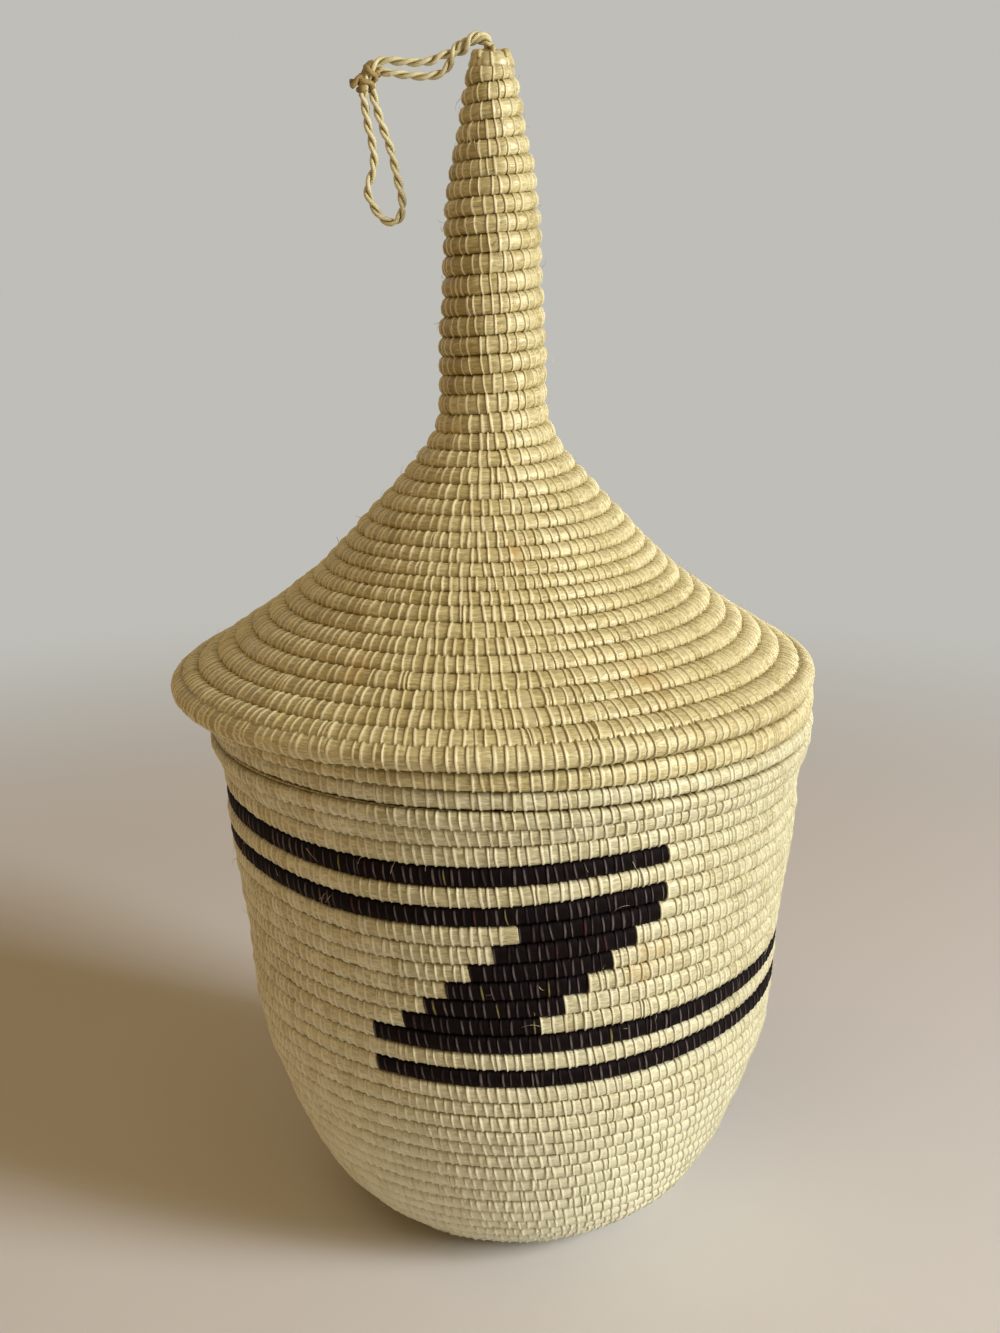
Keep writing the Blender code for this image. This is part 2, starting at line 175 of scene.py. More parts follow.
class Outline:
    """A wall's outer face in section, as radius and height by its run from the start."""

    FINENESS = 0.0001
    PROBE = 8  # in steps of the fineness

    def __init__(self, points):
        spots = smooth(points)
        runs = np.concatenate([[0], np.cumsum(np.linalg.norm(np.diff(spots, axis=0), axis=1))])
        self.length = runs[-1]
        self.run = np.linspace(0, self.length, int(self.length / self.FINENESS))
        self.radius = np.interp(self.run, runs, spots[:, 0])
        self.height = np.interp(self.run, runs, spots[:, 1])
        ahead = np.minimum(np.arange(len(self.run)) + self.PROBE, len(self.run) - 1)
        behind = np.maximum(np.arange(len(self.run)) - self.PROBE, 0)
        along = np.stack(
            [self.radius[ahead] - self.radius[behind], self.height[ahead] - self.height[behind]]
        )
        self.out = np.stack([along[1], -along[0]]) / np.linalg.norm(along, axis=0)

    def radius_at(self, run):
        """Radius of the outer face at a run along it."""
        return np.interp(run, self.run, self.radius)

    def place(self, run, lift, angle, lean):
        """World points at runs along the outline, moved out by lift, at angles from the front."""
        within = np.clip(run, 0, self.length)
        radius = np.interp(within, self.run, self.radius)
        height = np.interp(within, self.run, self.height)
        out_r = np.interp(within, self.run, self.out[0])
        out_z = np.interp(within, self.run, self.out[1])
        over = run - within
        radius = radius + lift * out_r - over * out_z
        height = height + lift * out_z + over * out_r
        sideways = radius * np.sin(angle)
        aside, rise = lean(height, angle, sideways)
        return np.stack([aside + sideways, -radius * np.cos(angle), height + rise], axis=-1)


def bowl_outline():
    """The same outline as the bowl's wall, with the flat base under it."""
    shape = (
        # out from base to mouth and up from base to mouth, as shares
        (0.00, 0.000), (0.194, 0.020), (0.330, 0.056), (0.466, 0.106), (0.579, 0.176),
        (0.686, 0.268), (0.810, 0.408), (0.858, 0.592), (0.925, 0.789), (0.945, 0.900),
    )
    points = [(0.0, 0.0), (BASE_RADIUS / 2, 0.0)]
    points += [
        (BASE_RADIUS + (MOUTH_RADIUS - BASE_RADIUS) * out, BODY_HEIGHT * up) for out, up in shape
    ]
    upright = 1.5 * COIL  # the last rows stand straight
    return Outline(points + [(MOUTH_RADIUS, BODY_HEIGHT - upright), (MOUTH_RADIUS, BODY_HEIGHT)])


def lid_outline():
    """The same outline as the lid's, from its widest row to the last turn of the spire."""
    cone = (
        # out from neck to rim and up from rim to neck, as shares
        (0.970, 0.00), (0.880, 0.05), (0.740, 0.145), (0.510, 0.32), (0.339, 0.50), (0.159, 0.70),
        (0.070, 0.81), (0.009, 0.93),
    )
    spire = (
        # out from tip to neck and up from neck to tip, as shares
        (1.00, 0.03), (0.98, 0.17), (0.84, 0.36), (0.78, 0.56), (0.61, 0.69), (0.38, 0.79),
        (0.245, 0.86),
    )
    top = SPIRE_TOP - TIP_HEIGHT
    points = [
        (NECK_RADIUS + (RIM_RADIUS - NECK_RADIUS) * out, CONE_BASE + (NECK - CONE_BASE) * up)
        for out, up in cone
    ]
    points += [
        (TIP_RADIUS + (NECK_RADIUS - TIP_RADIUS) * out, NECK + (top - NECK) * up)
        for out, up in spire
    ]
    return Outline(points + [(TIP_RADIUS, top)])


SAGS = (
    # Where the bowl's rows sag or rise between its base and mouth: angle from the front in
    # degrees, height, reach of both, and rise
    (-22, 0.115, 32, 0.050, -0.0034),
    (15, 0.070, 35, 0.030, -0.0019),
    (28, 0.122, 22, 0.022, 0.0026),
    (150, 0.090, 40, 0.040, -0.0020),
    (230, 0.070, 30, 0.030, 0.0016),
)


def bowl_lean(height, angle, sideways):
    """How far the bowl leans along X at a spot, and how far its rows rise there."""
    share = np.clip(height / BODY_HEIGHT, 0, 1)
    rise = 0
    for degrees, middle, reach, span, size in SAGS:
        around = (angle - math.radians(degrees) + math.pi) % TURN - math.pi
        away = (around / math.radians(reach)) ** 2 + ((height - middle) / span) ** 2
        rise = rise + size * np.exp(-away)
    return BOWL_LEAN * share, rise * np.sin(math.pi * share)


def lid_lean(height, angle, sideways):
    """The same for the lid above its lowest row, where the rows rise evenly towards +X."""
    up_the_spire = np.clip((height - NECK) / (SPIRE_TOP - NECK), 0, 1)
    return RIM_CENTRE + (TIP_CENTRE - RIM_CENTRE) * up_the_spire, LID_SLANT * sideways


def seat_lean(height, angle, sideways):
    """The same for the lid's lowest row, which is level below and slanted above."""
    share = np.clip((height - LID_BASE) / (SEAT_TOP - LID_BASE), 0, 1)
    return SEAT_CENTRE, LID_SLANT * share * sideways


def wobble(turns, seed, size):
    """A slow, smooth unevenness along a coil."""
    rng = np.random.default_rng(seed)
    total = 0
    for waves in (0.7, 1.9, 4.3, 9.7):
        total = total + np.sin(TURN * (waves * turns + rng.random())) / 2
    return size * total


def strand_turns(start, end, count_at, seed):
    """Turn numbers of the strands along a coil, from start to end, count_at of them to a turn."""
    rng = np.random.default_rng(seed)
    turns = [start]
    while turns[-1] < end:
        turns.append(turns[-1] + 1 / count_at(turns[-1]))
    turns = np.array(turns[:-1])
    steps = np.diff(turns, append=turns[-1] + turns[-1] - turns[-2])
    turns[1:] += steps[1:] * rng.normal(0, JITTER, len(turns) - 1).clip(-0.3, 0.3)
    doubled = turns[1:][rng.random(len(turns) - 1) < DOUBLED]
    turns = np.sort(np.append(turns, doubled + DOUBLE_STEP / count_at(turns[len(turns) // 2])))
    turns = turns[turns < end - END_ROOM * steps[-1]]
    return np.append(turns, end)


def stretch_turns(turns, first, last, count_at):
    """The strands' turns between two ends, with the ends and without those that crowd them."""
    inside = turns[(turns > first) & (turns < last)]
    step = 1 / count_at((first + last) / 2)
    inside = inside[(inside - first > END_ROOM * step) & (last - inside > END_ROOM * step)]
    return np.concatenate([[first], inside, [last]])


# Looks: node materials

class Shader:
    """A short way to write a node material."""

    def __init__(self, name):
        self.material = bpy.data.materials.new(name)
        self.material.use_nodes = True
        self.nodes = self.material.node_tree.nodes
        self.links = self.material.node_tree.links
        self.surface = self.nodes["Principled BSDF"]

    def put(self, value, socket):
        """Link a socket to a socket, or set one to a number or colour."""
        if isinstance(value, bpy.types.NodeSocket):
            self.links.new(value, socket)
        elif isinstance(value, tuple) and len(value) == 3 and socket.type == "RGBA":
            socket.default_value = (*value, 1)
        else:
            socket.default_value = value

    def node(self, kind, inputs=None, **settings):
        """A new node with its settings, and its inputs linked or set."""
        node = self.nodes.new("ShaderNode" + kind)
        for name, value in settings.items():
            setattr(node, name, value)
        for socket, value in (inputs or {}).items():
            self.put(value, node.inputs[socket])
        return node

    def attribute(self, name, output="Fac"):
        return self.node("Attribute", attribute_name=name).outputs[output]

    def place(self):
        return self.node("TexCoord").outputs["Object"]

    def math(self, operation, a, b, clamp=False):
        return self.node("Math", {0: a, 1: b}, operation=operation, use_clamp=clamp).outputs[0]

    def mix(self, share, a, b, blend="MIX"):
        inputs = {0: share, 6: a, 7: b}
        return self.node("Mix", inputs, data_type="RGBA", blend_type=blend).outputs[2]

    def tinted(self, colour, factor):
        """A colour times another one, or times a number."""
        if isinstance(factor, bpy.types.NodeSocket) and factor.type == "VALUE":
            factor = self.node("CombineColor", {0: factor, 1: factor, 2: factor}).outputs[0]
        return self.mix(1.0, colour, factor, "MULTIPLY")

    def ramp(self, value, low, high, to_low=0.0, to_high=1.0):
        """A value from low to high, mapped to another range and held at its ends."""
        inputs = {0: value, 1: low, 2: high, 3: to_low, 4: to_high}
        return self.node("MapRange", inputs, clamp=True).outputs[0]

    def noise(self, scale, detail=3.0, vector=None):
        vector = self.place() if vector is None else vector
        inputs = {"Scale": scale, "Detail": detail, "Roughness": 0.55, "Vector": vector}
        return self.node("TexNoise", inputs).outputs["Fac"]

    def stretched(self, vector, sizes):
        return self.node("Mapping", {"Scale": sizes, "Vector": vector}).outputs[0]

    def bump(self, height, strength, distance, normal=None):
        inputs = {"Strength": strength, "Distance": distance, "Height": height}
        if normal is not None:
            inputs["Normal"] = normal
        return self.node("Bump", inputs).outputs[0]

    def finish(self, colour, roughness, normal=None, specular=0.4):
        self.put(colour, self.surface.inputs["Base Color"])
        self.put(roughness, self.surface.inputs["Roughness"])
        self.surface.inputs["Specular IOR Level"].default_value = specular
        if normal is not None:
            self.links.new(normal, self.surface.inputs["Normal"])
        return self.material


SATIN = (1.0, 0.94, 0.77, 1)  # sisal shines golden
PAINTED_SHADE_TINT = (0.70, 0.645, 0.53)  # tint of the painted shade on the spire's side away from the lamp; bowl and cone get a third of it
STAIN_COLOUR = (0.55, 0.35, 0.10)
FADE_HEIGHTS = (0.085, 0.020)  # the bowl fades between these heights, most at the lower one


def straw_material(name, flat, deep, ridge, seam, bleached=None):
    """Sisal wound over the coil, with painted light on the side towards the lamp and painted shade
    away from it. Colours: the flat between two ridges, its darker streaks, which the painted shade
    also leans to, the ridges, the painted shade and dirt in the seams and grooves, and what it fades
    to near the ground."""
    shader = Shader(name)
    weave = shader.attribute("weave", "Vector")
    streaks = shader.noise(1.0, 3.0, shader.stretched(weave, (0.30, 1.5, 1.0)))
    fine = shader.noise(1.0, 2.0, shader.stretched(weave, (0.6, 4.5, 1.0)))
    along = shader.noise(1.0, 2.0, shader.stretched(weave, (7.0, 0.5, 1.0)))
    patches = shader.noise(28.0, 3.0)
    tone = shader.attribute("tone")
    strand = shader.attribute("strand")
    shade_and_dirt = shader.attribute("shade_and_dirt")
    stain = shader.attribute("stain")
    sun = shader.attribute("sun")

    share = shader.math("MULTIPLY", tone, 0.5)
    share = shader.math("ADD", share, shader.math("MULTIPLY", streaks, 0.9))
    share = shader.math("ADD", share, shader.math("MULTIPLY", patches, 0.6))
    # Painted light and shade: the flats lean to the paler colour towards the lamp and to the deeper
    # one away from it.
    share = shader.math("ADD", share, shader.ramp(sun, 0.0, 1.0, -0.22, 0.28))
    colour = shader.mix(shader.ramp(share, 0.65, 1.30), deep, flat)
    grain = shader.ramp(fine, 0.34, 0.62, 0.74, 1.08)
    grain = shader.math("MULTIPLY", grain, shader.ramp(streaks, 0.36, 0.62, 0.80, 1.08))
    colour = shader.tinted(colour, grain)
    if bleached:
        height = shader.node("SeparateXYZ", {0: shader.place()}).outputs[2]
        colour = shader.mix(shader.ramp(height, *FADE_HEIGHTS, 0.0, 0.75), colour, bleached)
    # Painted shade: darker and warmer on the side away from the lamp.
    colour = shader.tinted(colour, shader.mix(shader.ramp(sun, -1.0, 0.5), PAINTED_SHADE_TINT, (1.0, 1.0, 1.0)))

    edge = shader.mix(shader.ramp(tone, 0.0, 0.5), flat, ridge)
    edge = shader.tinted(edge, shader.ramp(along, 0.35, 0.6, 0.84, 1.04))
    edge = shader.tinted(edge, (0.93, 0.93, 0.93))
    colour = shader.mix(shader.ramp(strand, 0.30, 0.70, 0.0, 0.95), colour, edge)

    broken = shader.ramp(shader.noise(330.0, 3.0), 0.35, 0.65, 0.15, 1.0)
    colour = shader.mix(shader.math("MULTIPLY", stain, broken, True), colour, STAIN_COLOUR)
    # Painted shade and dirt in the seams and grooves; painted light makes it weaker on the lit side.
    shade_and_dirt_share = shader.ramp(shade_and_dirt, 0.20, 1.0, 0.0, 0.85)
    shade_and_dirt_share = shader.math("MULTIPLY", shade_and_dirt_share, shader.ramp(sun, 0.0, 1.0, 1.0, 0.8))
    colour = shader.mix(shade_and_dirt_share, colour, seam)

    normal = shader.bump(streaks, 0.5, 0.0003, shader.bump(fine, 0.7, 0.00014))
    rough = shader.ramp(strand, 0.2, 0.9, 0.27, 0.48)
    rough = shader.math("ADD", rough, shader.ramp(streaks, 0.3, 0.7, 0.0, 0.14))
    shader.surface.inputs["Specular Tint"].default_value = SATIN
    return shader.finish(colour, rough, normal, 0.95)


def dark_material():
    """Sisal dyed near black; its raised edges are painted greyer as a painted sheen, and now and then
    they are olive or red.
    """
    shader = Shader("dark_strand")
    weave = shader.attribute("weave", "Vector")
    fine = shader.noise(1.0, 2.0, shader.stretched(weave, (12.0, 0.4, 1.0)))
    strand = shader.attribute("strand")
    tone = shader.attribute("tone")
    shade_and_dirt = shader.attribute("shade_and_dirt")
    flat = shader.mix(shader.ramp(fine, 0.35, 0.75), (0.0030, 0.0016, 0.0018), (0.012, 0.0065, 0.0070))
    # Painted sheen: the raised edges are greyer, standing in for the shine of their glossy side.
    edge = shader.mix(shader.ramp(tone, 0.10, 0.80), (0.030, 0.020, 0.021), (0.150, 0.122, 0.122))
    edge = shader.mix(shader.ramp(tone, 0.970, 0.975), edge, (0.23, 0.20, 0.075))
    edge = shader.mix(shader.ramp(tone, 0.035, 0.030), edge, (0.085, 0.034, 0.030))
    colour = shader.mix(shader.ramp(strand, 0.45, 1.0), flat, edge)
    # Painted shade and dirt darken the grooves and seams.
    colour = shader.mix(shader.ramp(shade_and_dirt, 0.3, 1.0, 0.0, 0.9), colour, (0.0025, 0.0015, 0.0015))
    normal = shader.bump(fine, 0.6, 0.00014)
    return shader.finish(colour, shader.ramp(strand, 0.2, 0.9, 0.55, 0.45), normal, 0.06)


def cord_material(name, low, high, seam):
    """Twisted sisal: its fibres' two colours, and the painted shade and dirt between the plies."""
    shader = Shader(name)
    weave = shader.attribute("weave", "Vector")
    fine = shader.noise(1.0, 3.0, shader.stretched(weave, (0.6, 9.0, 1.0)))
    shade_and_dirt = shader.attribute("shade_and_dirt")
    colour = shader.mix(shader.ramp(fine, 0.3, 0.7), low, high)
    colour = shader.mix(shader.ramp(shade_and_dirt, 0.2, 1.0, 0.0, 0.8), colour, seam)
    normal = shader.bump(fine, 0.6, 0.0001)
    return shader.finish(colour, 0.42, normal)


def fibre_material():
    """Loose fibre, paler in some places than in others."""
    shader = Shader("loose_fibre")
    patches = shader.ramp(shader.noise(900.0), 0.3, 0.7)
    return shader.finish(shader.mix(patches, (0.55, 0.46, 0.24), (0.80, 0.75, 0.52)), 0.45)


# Wound coils

PAINTED_LIGHT_SIDE = math.radians(60)  # the side towards the window lamp, where painted light makes the straw palest; the side opposite gets painted shade
ROUND = np.radians([0, 14, 34, 62, 90, 118, 146, 166, 180, 225, 270, 315])  # round a coil's section
STAINS = (
    # angle from the front in degrees, height, reach, strength
    (-30, 0.1640, 0.0028, 0.8),
    (9, 0.1870, 0.0024, 0.8),
    (32, 0.1620, 0.0030, 1.0),
    (27, 0.0985, 0.0036, 0.8),
    (24, 0.0935, 0.0032, 0.8),
    (140, 0.1000, 0.0050, 0.5),
    (200, 0.1720, 0.0040, 0.5),
)


def stained(points, angle):
    """How stained the straw is at points of a wall, from 0 to 1."""
    total = np.zeros(angle.shape)
    for degrees, height, reach, strength in STAINS:
        around = (angle - math.radians(degrees) + math.pi) % TURN - math.pi
        radius = np.hypot(points[..., 0], points[..., 1])
        away = np.hypot(around * radius, points[..., 2] - height)
        total += strength * np.exp(-((away / reach) ** 2))
    return total.clip(0, 1)


def placed(name, data):
    """A new object in the scene."""
    made = bpy.data.objects.new(name, data)
    bpy.context.scene.collection.objects.link(made)
    return made


def mesh_object(name, vertices, faces, material, values):
    """A smooth mesh with named values at its points, which are numbers or vectors."""
    mesh = bpy.data.meshes.new(name)
    mesh.from_pydata(vertices, [], faces)
    mesh.shade_smooth()
    for label, data in values.items():
        data = np.asarray(data, np.float32).reshape(len(vertices), -1)
        kind, field = ("FLOAT_VECTOR", "vector") if data.shape[1] == 3 else ("FLOAT", "value")
        mesh.attributes.new(label, kind, "POINT").data.foreach_set(field, data.ravel())
    mesh.materials.append(material)
    mesh.update()
    return placed(name, mesh)


def coil_object(name, points, closed, material, values):
    """A tube from a grid of points, rings round it in a row: capped, or closed to a ring."""
    columns, around = points.shape[:2]
    index = np.arange(columns * around).reshape(columns, around)
    follow = np.roll(index, -1, axis=0) if closed else index[1:]
    here = index if closed else index[:-1]
    corners = [here, follow, np.roll(follow, -1, axis=1), np.roll(here, -1, axis=1)]
    faces = np.stack(corners, axis=-1).reshape(-1, 4).tolist()
    if not closed:
        faces.append(index[0].tolist())
        faces.append(index[-1][::-1].tolist())
    return mesh_object(name, points.reshape(-1, 3).tolist(), faces, material, values)


def tube_points(path, out, over, thick, wide, sides):
    """Rings of points round a path, thick along one direction and wide along the other."""
    ring = np.arange(sides) * TURN / sides
    return path[:, None] + (
        thick * np.cos(ring)[None, :, None] * out[:, None]
        + wide * np.sin(ring)[None, :, None] * over[:, None]
    )


def tube_faces(start, columns, sides):
    """Faces of a capped tube whose rings of points follow each other from start."""
    faces = []
    for c in range(columns - 1):
        here, follow = start + c * sides, start + (c + 1) * sides
        for j in range(sides):
            k = (j + 1) % sides
            faces.append((here + j, here + k, follow + k, follow + j))
    last = start + (columns - 1) * sides
    faces.append([start + j for j in range(sides)][::-1])
    faces.append([last + j for j in range(sides)])
    return faces


def coil_section(squareness):
    """Places round a coil from -1 to 1, across it and outwards, and the way out at each."""
    cosine, sine = np.cos(ROUND), np.sin(ROUND)
    power = 2 / squareness
    across = np.sign(cosine) * np.abs(cosine) ** power
    depth = np.sign(sine) * np.abs(sine) ** power
    return across, depth, np.stack([across, depth]) / np.hypot(across, depth)


def strand_columns(rng, turns, spans, closed, ridge, ridge_width, crown, lean_angle):
    """Columns of points over each strand, from its ridge across its flat, and what holds there."""
    count = len(turns) - 1
    height = ridge * rng.normal(1, UNEVEN, count).clip(0.5, 1.5)
    width = ridge_width * rng.normal(1, UNEVEN, count).clip(0.6, 1.5)
    width = np.minimum(width, WIDEST_RIDGE * spans)
    flat = spans - width - FLAT_END
    crown = rng.normal(0, crown, (2, count))
    tone = rng.random(count)
    bow = rng.normal(0, BOW, count)
    swing = math.tan(lean_angle) + rng.normal(0, SWING, count)
    bulge = rng.normal(0, BULGE, count)

    places, heights, raised, seam = zip(*RIDGE_COLUMNS)
    offsets = [place * width for place in places] + [width + spot * flat for spot in FLAT_SPOTS]
    lifts = [share * height for share in heights] + [crown[0], crown[1], FLAT_FALL * crown[1]]
    lifts[0] = lifts[0] - DIP
    raised += (0.0,) * len(FLAT_SPOTS)
    seam += (0.0, 0.0, FLAT_SEAM)
    over_flat = np.tile((0.0,) * len(places) + FLAT_SPOTS, count)

    def blended(values):
        # The flat's end goes with the next strand's foot, so that neighbours never cross
        own = np.repeat(values, len(raised))
        return own + over_flat * (np.repeat(np.roll(values, -1), len(raised)) - own)

    column = {
        "turn": (turns[:-1] + np.stack(offsets) / spans * np.diff(turns)).T.ravel(),
        "lift": np.stack(lifts).T.ravel(),
        "strand": np.tile(raised, count),
        "seam": np.tile(seam, count),
        "tone": np.repeat(tone, len(raised)),
        "tuck": TUCK * np.tile(DRAWN_IN, count) + np.repeat(bulge, len(raised)),
        "bow": blended(bow),
        "swing": blended(swing),
    }
    if not closed:
        last = (turns[-1], -DIP, 0.0, seam[0], tone[-1], TUCK, bow[0], swing[0])
        for key, value in zip(column, last):
            column[key] = np.append(column[key], value)
    return {key: data[:, None] for key, data in column.items()}


def wound(
    name, outline, lean, row, turns, kind, replaced, seed, closed=False, wall=WALL, squareness=2.6,
    swell=1.06, tapers=True, ridge=RIDGE, ridge_width=RIDGE_WIDTH, crown=CROWN,
    lean_angle=LEAN_ANGLE, crispness=7, fading=7, painted_shade_depth=1.0,
):
    """A stretch of coil wound with strand, each strand's left edge standing up as a thin ridge.

    row gives the runs of the two grooves beside the coil at a turn number. kind is the winding's
    material, body and slot.
    """
    rng = np.random.default_rng(seed)
    low, high = row(turns[:-1])
    spans = np.diff(turns) * TURN * outline.radius_at((low + high) / 2).clip(LEAST_RADIUS)
    column = strand_columns(rng, turns, spans, closed, ridge, ridge_width, crown, lean_angle)
    across, depth, normal = coil_section(squareness)

    # A strand leans and bows, so the points round the coil lie at different turns of it
    low, high = row(column["turn"])
    radius = outline.radius_at((low + high) / 2).clip(LEAST_RADIUS)
    aside = column["bow"] * (1 - across**2) - column["swing"] * across * ((high - low) / 2)
    turn = column["turn"] + aside / (TURN * radius)
    low, high = row(turn)
    half = (high - low) / 2 * swell
    thin = (half / (COIL / 2)).clip(0, 1) if tapers else np.ones_like(half)
    half = half - column["tuck"] * thin
    raised = column["lift"] * thin
    run = (low + high) / 2 + half * across + raised * normal[0]
    lift = -wall / 2 + wall / 2 * depth * (0.35 + 0.65 * thin) + raised * normal[1]
    lift = lift + wobble(turn, seed + 7, WAVE) * thin
    points = outline.place(run, lift, turn * TURN, lean)
    points[..., 2] = points[..., 2].clip(0)

    # Painted shade and dirt lie in the grooves, inside the coil, and in the seams, most of it towards
    # the row above
    groove = np.where(depth < -0.2, 0.5, np.abs(across) ** crispness)
    seam = column["seam"] * (0.35 + 0.65 * ((across + 0.6) / 1.3).clip(0, 1))
    steps = np.diff(column["turn"], axis=0) * TURN * radius[:-1]
    along = np.concatenate([[[0]], np.cumsum(steps, axis=0)])
    weave = np.broadcast_arrays(along / MM, ROUND * wall / MM / 2, 37 * column["tone"])
    values = {
        "weave": np.stack(weave, axis=-1),
        "tone": np.broadcast_to(column["tone"], run.shape),
        "strand": column["strand"] * (1 - np.abs(across) ** fading),
        "shade_and_dirt": np.maximum(seam, groove),
        "stain": stained(points, turn * TURN),
        # Painted light and shade: highest on the side towards the lamp, lowest opposite it.
        "sun": 1 - painted_shade_depth * (0.5 - 0.5 * np.cos(turn * TURN - PAINTED_LIGHT_SIDE)),
    }
    material, body, slot = kind
    made = coil_object(name, points, closed, material, values)
    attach(made, body)
    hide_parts(*replaced)


def count_steps(steps, outline, row):
    """Strands to a turn by the coil's radius, in steps, so that they line up from row to row."""

    def count_at(turn):
        low, high = row(np.array([turn]))
        radius = outline.radius_at((low + high) / 2)[0]
        for limit, count in steps:
            if radius < limit:
                return count
        return steps[-1][1]

    return count_at


# The camera, fitted to the photograph
FOCAL = 1700.0  # in pixels of the photograph
PHOTO_HEIGHT = 1333.0
SENSOR = 36.0
CAMERA_PLACE = (-0.0047, -0.4320, 0.2648)
CAMERA_PITCH = 14.9  # degrees down


def add_camera():
    data = bpy.data.cameras.new("camera")
    data.sensor_fit = "VERTICAL"
    data.sensor_height = SENSOR
    data.lens = FOCAL / PHOTO_HEIGHT * SENSOR
    data.clip_start = 0.01
    camera = placed("camera", data)
    camera.location = CAMERA_PLACE
    camera.rotation_euler = (math.radians(90 - CAMERA_PITCH), 0, 0)
    bpy.context.scene.camera = camera


# The cord: two-ply sisal, doubled and knotted. Routes repeat the ones of the solids, in
# millimetres to the right of the tip's top and above it.
CORD_TOP = (TIP_CENTRE, 0.0, SPIRE_TOP)
STRAND = 0.00108  # radius of the cord
PLY_PITCH = 0.0082
PLY_THICK = 0.50  # radii of a ply, as shares of the cord's: outwards
PLY_WIDE = 0.54  # and along the cord's skin
PLY_STEP = 0.0003
PLY_SIDES = 8
KNOT_RADIUS = 0.0014  # of the wraps round the knot
KNOT_PITCH = 0.0026
KNOT_CORE = 0.0021  # radius of the twist under them
KNOT_STUB = ((-30.6, -6.8), (-31.8, -7.1), (-32.9, -7.7), (-33.8, -8.0))
LEAD_LAY = 0.00085  # the two strands of the lead lie this far from its middle
LEAD_PITCH = 0.0095
LEAD_STEP = 0.0018
WRAP_STEP = 0.0006
CORD_ROUTES = {
    "cord_lead": ((-0.6, 0.35), (-0.7, 1.4), (-1.9, 2.5), (-3.8, 2.4), (-6.0, 1.3), (-9.0, -0.8)),
    "cord_run_upper": (
        (-10.1, 0.1), (-12.2, -1.5), (-14.6, -2.7), (-18.0, -3.0), (-22.0, -2.8), (-26.2, -2.6)
    ),
    "cord_run_lower": (
        (-8.6, -2.1), (-11.0, -4.7), (-14.4, -6.1), (-18.1, -6.1), (-21.1, -5.8), (-25.1, -5.3)
    ),
    "cord_knot": ((-26.8, -3.6), (-28.9, -5.1), (-30.1, -7.4), (-30.4, -10.0), (-29.4, -12.4)),
    "cord_eye": (
        (-30.5, -13.2), (-30.0, -17.0), (-28.9, -22.0), (-28.7, -27.3), (-30.3, -32.2),
        (-29.7, -34.9), (-27.2, -38.9), (-25.2, -40.1), (-23.2, -39.9), (-22.1, -37.9),
        (-21.8, -35.4), (-23.1, -29.2), (-24.6, -22.8), (-26.4, -17.8), (-28.1, -12.2)
    ),
}


def evenly(spots, spacing):
    """Points at an even spacing along a path, and their runs along it."""
    runs = np.concatenate([[0], np.cumsum(np.linalg.norm(np.diff(spots, axis=0), axis=1))])
    count = max(4, int(round(runs[-1] / spacing)) + 1)
    wanted = np.linspace(0, runs[-1], count)
    return np.stack([np.interp(wanted, runs, spots[:, i]) for i in range(3)], axis=1), wanted


def frames_along(points):
    """Unit ways along a path, and two directions square to each."""
    ways = np.gradient(points, axis=0)
    ways /= np.linalg.norm(ways, axis=1)[:, None]
    side = np.cross(ways, np.array([0.03, 1.0, 0.02]))
    side /= np.linalg.norm(side, axis=1)[:, None]
    return ways, side, np.cross(side, ways)


def helix_about(route, radius, pitch, phase, spacing):
    """Points of a strand laid round a route."""
    points, runs = evenly(route, spacing)
    _, side, up = frames_along(points)
    swing = TURN * (runs / pitch + phase)
    return points + radius * (np.cos(swing)[:, None] * side + np.sin(swing)[:, None] * up)


def twisted(name, paths, radius, pitch, material):
    """Two plies laid round each path, as one mesh of closed tubes."""
    vertices, faces, weave, shade_and_dirt = [], [], [], []
    thick, wide = PLY_THICK * radius, PLY_WIDE * radius
    for path in paths:
        points, runs = evenly(path, PLY_STEP)
        for phase in (0.0, 0.5):
            middle = helix_about(path, radius - thick, pitch, phase, PLY_STEP)
            ways, _, _ = frames_along(middle)
            out = (middle - points) / (radius - thick)
            grid = tube_points(middle, out, np.cross(ways, out), thick, wide, PLY_SIDES)
            faces += tube_faces(len(vertices), len(grid), PLY_SIDES)
            vertices += grid.reshape(-1, 3).tolist()
            away = np.linalg.norm(grid - points[:, None], axis=2) / radius
            # Painted shade and dirt, most where the plies press together near the cord's middle.
            shade_and_dirt += (1.10 - 1.15 * away).clip(0, 1).ravel().tolist()
            for run in runs / MM:
                weave += [(run, 0.5 * j + 2 * run, 7 * phase) for j in range(PLY_SIDES)]
    return mesh_object(name, vertices, faces, material, {"weave": weave, "shade_and_dirt": shade_and_dirt})


def route(name):
    """Points of one of the cord's routes, which all lie in one plane."""
    return [(x, 0.0, z) for x, z in CORD_ROUTES[name]]


def loop_path():
    """The cord's whole way: out of the tip, over to the knot, round the eye and back."""
    lead = smooth(route("cord_lead"), 24) * MM
    first = helix_about(lead, LEAD_LAY, LEAD_PITCH, 0.10, LEAD_STEP) / MM
    second = helix_about(lead, LEAD_LAY, LEAD_PITCH, 0.60, LEAD_STEP) / MM
    points = [(-0.9, 0.3, -1.6)] + first[:-1].tolist()
    points += route("cord_run_upper")[1:]
    points += [(-28.7, -0.8, -4.6), (-30.0, -0.9, -7.4), (-30.9, -0.5, -10.4)]
    points += route("cord_eye")
    points += [(-28.6, 0.5, -9.6), (-28.7, 0.9, -7.2), (-27.3, 0.6, -5.2)]
    points += route("cord_run_lower")[:0:-1]
    points += second[-2::-1].tolist() + [(0.5, -0.3, -1.6)]
    return smooth(points, 12) * MM + CORD_TOP


